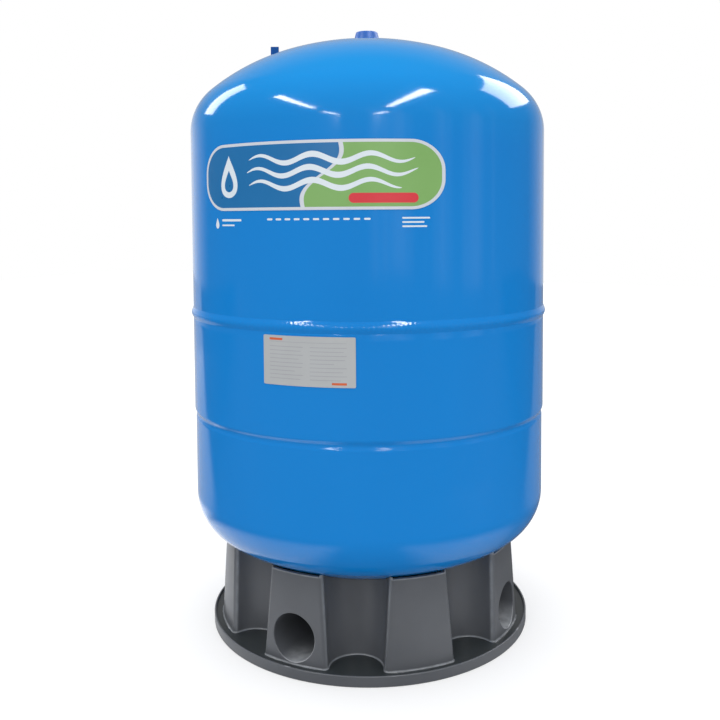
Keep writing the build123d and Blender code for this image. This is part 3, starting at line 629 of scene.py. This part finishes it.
bend = np.sin(np.linspace(-np.pi / 2, np.pi / 2, 81))
film_levels = middle + (half_height + FRONT_BORDER - FILM_INSET) * bend
film_reach = edge_reach(film_levels, FILM_INSET)
film_field = rows_between(-film_reach, film_reach, film_levels, 90)
film_points, film_faces = closed_sheet(wrapped(*film_field, front_radius - FILM_INSET / 2),
                                       wrapped(*film_field, front_radius - FILM / 2))
film = make_piece("label_film", film_points, film_faces, [PALE_VINYL], 30.0)
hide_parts("front_label")
field_levels = middle + half_height * bend
blue_field = rows_between(-edge_reach(field_levels), divide(field_levels) - DIVIDE_STROKE / 2, field_levels)
green_field = rows_between(divide(field_levels) + DIVIDE_STROKE / 2, edge_reach(field_levels), field_levels)
print_on("label_blue_print", [blue_field], BLUE_INK, FIRST_INK)
print_on("label_green_print", [green_field], GREEN_INK, FIRST_INK)


def drop_rows(across, level, width, height):
    """A drop, round below and pointed above: half width = w sin(a) sin(a/2)^1.4, level = c + h cos(a) / 2."""
    a = np.linspace(np.pi, 0, 61)
    half = width * 0.66 * np.sin(a) * np.sin(a / 2) ** 1.4
    return rows_between(across - half, across + half, level + height / 2 * np.cos(a), 13)


def swell(start, end, level, height, length, thick):
    """A wave stroke that tapers to its ends: level = c + h sin(2 pi s / l), thickness t sin(pi u)^0.5."""
    s = np.linspace(start, end, 121)
    u = (s - start) / (end - start)
    line = level + height * np.sin(2 * np.pi * (s - start) / length)
    half = thick / 2 * np.sqrt(np.sin(np.pi * np.clip(u, 1e-4, 1 - 1e-4)))
    return columns_between(s, line - half, line + half)


white_fields = [drop_rows(DROP_PLACE, middle + 1.0, 38.0, 58.0)]
for start, end, over in [(-88.0, 146.0, 22.0), (-92.0, 150.0, 5.0), (-88.0, 128.0, -12.0)]:
    white_fields.append(swell(start, end, middle + over, WAVE_HEIGHT, WAVE_LENGTH, WAVE_STROKE))
print_on("label_white_print", white_fields, WHITE_INK, SECOND_INK)
print_on("label_drop_print", [drop_rows(DROP_PLACE, middle - 5.0, 20.0, 30.0)], BLUE_INK,
         THIRD_INK)


def bar(start, end, level, height):
    """A bar with half-round ends: half height = sqrt(r^2 - over^2) past each end's centre."""
    radius = height / 2
    s = np.concatenate([start + radius * (1 - np.cos(np.linspace(0, np.pi / 2, 12))),
                        np.linspace(start + radius, end - radius, 12)[1:-1],
                        end - radius * (1 - np.cos(np.linspace(np.pi / 2, 0, 12)))])
    over = np.maximum(np.maximum(start + radius - s, s - (end - radius)), 0)
    half = np.sqrt(np.maximum(radius ** 2 - over ** 2, 0))
    return columns_between(s, level - half, level + half)


print_on("label_red_print", [bar(58.0, 150.0, middle - 30.5, 13.0)], RED_INK, SECOND_INK)

# Small white marks on the wall under the label: a drop with two bars, a row of dashes, and three bars
under = front_low[2]
wall_fields = [
    drop_rows(-158.0, under - 17.0, 9.0, 15.0),
    bar(-146.0, -104.0, under - 13.0, 3.0),
    bar(-146.0, -118.0, under - 20.0, 2.2),
    *[bar(start, start + DASH_WIDTH, under - 12.0, 2.6) for start in np.arange(11) * DASH_PITCH - 58.0],
    bar(128.0, 166.0, under - 11.0, 2.2),
    bar(128.0, 158.0, under - 16.5, 2.2),
    bar(128.0, 162.0, under - 22.0, 2.2),
]
print_on("wall_white_print", wall_fields, WHITE_INK, FIRST_INK, tank_radius)


def block(start, end, level, height, columns=13):
    """A plain rectangle of print."""
    s = np.linspace(start, end, columns)
    return columns_between(s, np.full(columns, level - height / 2), np.full(columns, level + height / 2), 2)


# Two columns of plain lines under a rule, between two orange bars
data_middle = (data_low[2] + data_high[2]) / 2
lines = []
for column, lengths in [(COLUMN_LEFT, [50, 47, 50, 44, 50, 49, 38, 50, 46]),
                        (COLUMN_RIGHT, [50, 46, 50, 48, 33, 50, 45, 50, 42])]:
    for row, length in enumerate(lengths):
        level = data_middle + 19.0 - LINE_PITCH * row
        lines.append(block(column, column + length, level, LINE_STROKE))
lines.append(block(COLUMN_LEFT, COLUMN_RIGHT + 50, data_middle + 25.2, 0.7))
print_on("data_grey_print", lines, GREY_INK, FIRST_INK)
bars = [block(COLUMN_LEFT, COLUMN_LEFT + 20, data_middle + 28.7, 3.0),
        block(COLUMN_RIGHT + 30, COLUMN_RIGHT + 50, data_middle - 28.7, 3.0)]
print_on("data_orange_print", bars, ORANGE_INK, FIRST_INK)


# Studio
TURN = math.radians(CAMERA_AZIMUTH)
RIGHT = Vector((math.cos(TURN), math.sin(TURN), 0))
BEHIND = Vector((-math.sin(TURN), math.cos(TURN), 0))


def studio_world():
    """A pale studio. The camera sees white. Reflections see a white sweep low down behind the tank, brighter at
    its left, a pale curtain at the front right, and a dim room elsewhere. The rest is soft light that grows
    toward the ceiling."""
    world = bpy.data.worlds.new("studio")
    bpy.context.scene.world = world
    world.use_nodes = True
    tree = world.node_tree
    tree.nodes.clear()
    way = add_node(tree, "ShaderNodeTexCoord").outputs["Generated"]
    rise = add_node(tree, "ShaderNodeSeparateXYZ", {"Vector": way}).outputs["Z"]
    behind, right = [add_node(tree, "ShaderNodeVectorMath", {0: way, 1: axis},
                              operation="DOT_PRODUCT").outputs["Value"] for axis in (BEHIND, RIGHT)]

    # The sweep behind the tank, and the wall above it
    sweep = add_node(tree, "ShaderNodeMapRange", {"Value": behind, "From Min": 0.52, "From Max": 0.86})
    low = add_node(tree, "ShaderNodeMapRange", {"Value": rise, "From Min": 0.24, "From Max": 0.08})
    side = add_node(tree, "ShaderNodeMapRange", {"Value": right, "From Min": -0.3, "From Max": 0.3,
                                                 "To Min": 0.94, "To Max": 0.64})
    back = add_node(tree, "ShaderNodeMix", {"Factor": low.outputs[0], "A": 0.42, "B": side.outputs[0]})

    # The dim room, with the folds of a curtain hung at its front right
    hall = add_node(tree, "ShaderNodeMapRange", {"Value": behind, "From Min": -0.4, "From Max": 0.6,
                                                 "To Min": 0.26, "To Max": 0.12})
    flat = add_node(tree, "ShaderNodeMapping", {"Vector": way, "Scale": (1, 1, 0.1)})
    folds = add_node(tree, "ShaderNodeTexNoise", {"Vector": flat.outputs[0], "Scale": 5.0, "Detail": 2.0})
    curtain = add_node(tree, "ShaderNodeMapRange", {"Value": folds.outputs["Fac"], "From Min": 0.4,
                                                    "From Max": 0.6, "To Min": 0.26, "To Max": 0.72})
    hung = mask(tree, (right, -0.2, 0.1), (rise, 0.5, 0.1), (behind, 0.1, -0.2))
    front = add_node(tree, "ShaderNodeMix", {"Factor": hung, "A": hall.outputs[0], "B": curtain.outputs[0]})
    room = add_node(tree, "ShaderNodeMix", {"Factor": sweep.outputs[0], "A": front.outputs[0],
                                            "B": back.outputs[0]})

    even = add_node(tree, "ShaderNodeMapRange", {"Value": rise, "From Min": 0.0, "From Max": 1.0,
                                                 "To Min": 0.36, "To Max": 2.25})
    path = add_node(tree, "ShaderNodeLightPath")
    shown = add_node(tree, "ShaderNodeMath", {0: path.outputs["Is Glossy Ray"],
                                              1: path.outputs["Is Transmission Ray"]}, operation="MAXIMUM")
    light = add_node(tree, "ShaderNodeMix", {"Factor": shown.outputs[0], "A": even.outputs[0],
                                             "B": room.outputs[0]})
    level = add_node(tree, "ShaderNodeMix", {"Factor": path.outputs["Is Camera Ray"],
                                             "A": light.outputs[0], "B": 1.0})
    sky = add_node(tree, "ShaderNodeBackground", {"Color": srgb("ffffff"), "Strength": level.outputs[0]})
    add_node(tree, "ShaderNodeOutputWorld", {"Surface": sky.outputs[0]})


def area_light(name, size, radiance, use):
    """A rectangular light of a given radiance, which the camera doesn't see, for soft light or reflections."""
    light = bpy.data.lights.new(name, "AREA")
    light.shape = "RECTANGLE"
    light.size, light.size_y = size
    light.energy = radiance * size[0] * size[1] * math.pi
    lamp = bpy.data.objects.new(name, light)
    bpy.context.scene.collection.objects.link(lamp)
    lamp.visible_camera = False
    lamp.visible_glossy = use == "glossy"
    lamp.visible_diffuse = use == "diffuse"
    return lamp


def soft_light(name, place, target, size, radiance, use):
    """A light turned to its target. Its place is an azimuth from the camera, positive to the right, an
    elevation and a distance in metres from a level on the tank's axis."""
    azimuth, elevation, distance, level = place
    turn = math.radians(CAMERA_AZIMUTH - 90 + azimuth)
    rise = math.radians(elevation)
    centre = Vector((math.cos(turn) * math.cos(rise), math.sin(turn) * math.cos(rise),
                     math.sin(rise))) * distance + Vector((0, 0, level))
    lamp = area_light(name, size, radiance, use)
    lamp.location = centre
    lamp.rotation_euler = (Vector((0, 0, target)) - centre).to_track_quat("-Z", "Y").to_euler()


def ceiling_tube(name, near, far, width):
    """A long tube light under the ceiling, facing down. Its ends are metres to the right and to the front."""
    a, b = [RIGHT * right - BEHIND * front + Vector((0, 0, TUBE_HEIGHT)) for right, front in (near, far)]
    along = (b - a).normalized()
    face = Vector((0, 0, -1))
    side = (-face).cross(along).normalized()
    turned = Matrix((along, side, along.cross(side))).transposed().to_4x4()
    lamp = area_light(name, ((b - a).length, width), TUBE_RADIANCE, "glossy")
    lamp.matrix_world = Matrix.Translation((a + b) / 2) @ turned


def studio_floor():
    """A pale floor. The camera sees it as white, darkened where the tank keeps light off it. Reflections see a
    white sheet behind the tank, wider with distance and brighter at its left, a pale patch close by on either
    side, and a dark floor elsewhere."""
    bpy.ops.mesh.primitive_plane_add(size=FLOOR_SIZE, location=(0, 0, -FLOOR_DROP))
    floor = bpy.context.object
    floor.name = "floor"
    material = bpy.data.materials.new("pale_studio_floor")
    material.use_nodes = True
    tree = material.node_tree
    tree.nodes.clear()
    place = add_node(tree, "ShaderNodeTexCoord").outputs["Object"]
    reach = add_node(tree, "ShaderNodeVectorMath", {0: place}, operation="LENGTH").outputs["Value"]
    back, right = [add_node(tree, "ShaderNodeVectorMath", {0: place, 1: axis},
                            operation="DOT_PRODUCT").outputs["Value"] for axis in (BEHIND, RIGHT)]
    aside = add_node(tree, "ShaderNodeMath", {0: right}, operation="ABSOLUTE").outputs[0]

    # Where the sheet and the patches lie
    edge = add_node(tree, "ShaderNodeMath", {0: back, 1: -0.9, 2: aside}, operation="MULTIPLY_ADD").outputs[0]
    sheet = mask(tree, (edge, 0.8, 0.6), (back, 0.05, 0.3))
    patch = mask(tree, (reach, 0.62, 0.44), (aside, 0.08, 0.2))
    pale = add_node(tree, "ShaderNodeMath", {0: sheet, 1: patch}, operation="MAXIMUM")

    # How pale each is, from left to right and from front to back
    side = add_node(tree, "ShaderNodeMapRange", {"Value": right, "From Min": -0.5, "From Max": 0.5,
                                                 "To Min": 0.37, "To Max": 0.2})
    near_right = add_node(tree, "ShaderNodeMapRange", {"Value": back, "From Min": -0.25, "From Max": 0.0,
                                                       "To Min": 0.75, "To Max": 0.12})
    near = add_node(tree, "ShaderNodeMix", {"Factor": mask(tree, (right, -0.2, 0.2)), "A": 0.9,
                                            "B": near_right.outputs[0]})
    bright = add_node(tree, "ShaderNodeMix", {"Factor": mask(tree, (reach, 0.8, 0.6)), "A": side.outputs[0],
                                              "B": near.outputs[0]})
    dim = add_node(tree, "ShaderNodeMapRange", {"Value": back, "From Min": -0.4, "From Max": 0.3,
                                                "To Min": 0.14, "To Max": 0.05})
    paper = add_node(tree, "ShaderNodeMix", {"Factor": pale.outputs[0], "A": dim.outputs[0],
                                             "B": bright.outputs[0]})

    plain = add_node(tree, "ShaderNodeBsdfDiffuse", {"Color": srgb("c3c3c3")})
    mirrored = add_node(tree, "ShaderNodeBsdfDiffuse", {"Color": paper.outputs[0]})
    lifted = add_node(tree, "ShaderNodeBsdfDiffuse", {"Color": srgb("bcbcbc")})
    glow = add_node(tree, "ShaderNodeEmission", {"Color": srgb("ffffff"), "Strength": 0.4})
    seen = add_node(tree, "ShaderNodeAddShader", {0: lifted.outputs[0], 1: glow.outputs[0]})
    path = add_node(tree, "ShaderNodeLightPath")
    other = add_node(tree, "ShaderNodeMixShader", {0: path.outputs["Is Glossy Ray"], 1: plain.outputs[0],
                                                   2: mirrored.outputs[0]})
    surface = add_node(tree, "ShaderNodeMixShader", {0: path.outputs["Is Camera Ray"], 1: other.outputs[0],
                                                     2: seen.outputs[0]})
    add_node(tree, "ShaderNodeOutputMaterial", {"Surface": surface.outputs[0]})
    floor.data.materials.append(material)


studio_world()

# The tubes draw thin streaks on the crown, and the windows broad glints at its sides, as reflections alone
for tube, near, far, width in [
    ("tube_left_near", (-1.60, 0.78), (-2.15, 3.45), 0.24),
    ("tube_left_far", (-2.75, 5.6), (-2.95, 9.5), 0.4),
    ("tube_right_near", (0.93, 0.86), (0.85, 3.8), 0.24),
    ("tube_right_far", (1.3, 6.4), (0.9, 9.8), 0.4),
]:
    ceiling_tube(tube, near, far, width)
soft_light("window_left", (-119, 34, 3.2, 0.45), 0.5, (0.7, 1.5), WINDOW_RADIANCE, "glossy")
soft_light("window_right", (120, 38, 3.2, 0.45), 0.5, (1.9, 1.3), WINDOW_RADIANCE, "glossy")

# The fills are soft light on the front, on the left side and on the foot, and show in no reflection
soft_light("front_fill", (-20, 18, 3.5, 0.45), 0.5, (2.4, 2.0), 0.9, "diffuse")
soft_light("left_fill", (-125, 8, 3.0, 0.45), 0.1, (1.2, 1.2), 3.0, "diffuse")
soft_light("right_fill", (60, 3, 1.1, 0.1), 0.06, (0.5, 0.3), 1.3, "diffuse")
studio_floor()

camera_data = bpy.data.cameras.new("camera")
camera_data.lens = CAMERA_LENS
camera_data.sensor_width = 36.0
camera_data.shift_x, camera_data.shift_y = CAMERA_SHIFT
camera = bpy.data.objects.new("camera", camera_data)
bpy.context.scene.collection.objects.link(camera)
camera.location = -BEHIND * CAMERA_DISTANCE * MM + Vector((0, 0, CAMERA_HEIGHT * MM))
aim = Matrix.Rotation(TURN, 3, "Z") @ Matrix.Rotation(math.radians(90 - CAMERA_PITCH), 3, "X")
camera.rotation_euler = (aim @ Matrix.Rotation(math.radians(-CAMERA_ROLL), 3, "Z")).to_euler()
bpy.context.scene.camera = camera
bpy.context.scene.view_settings.view_transform = "Standard"
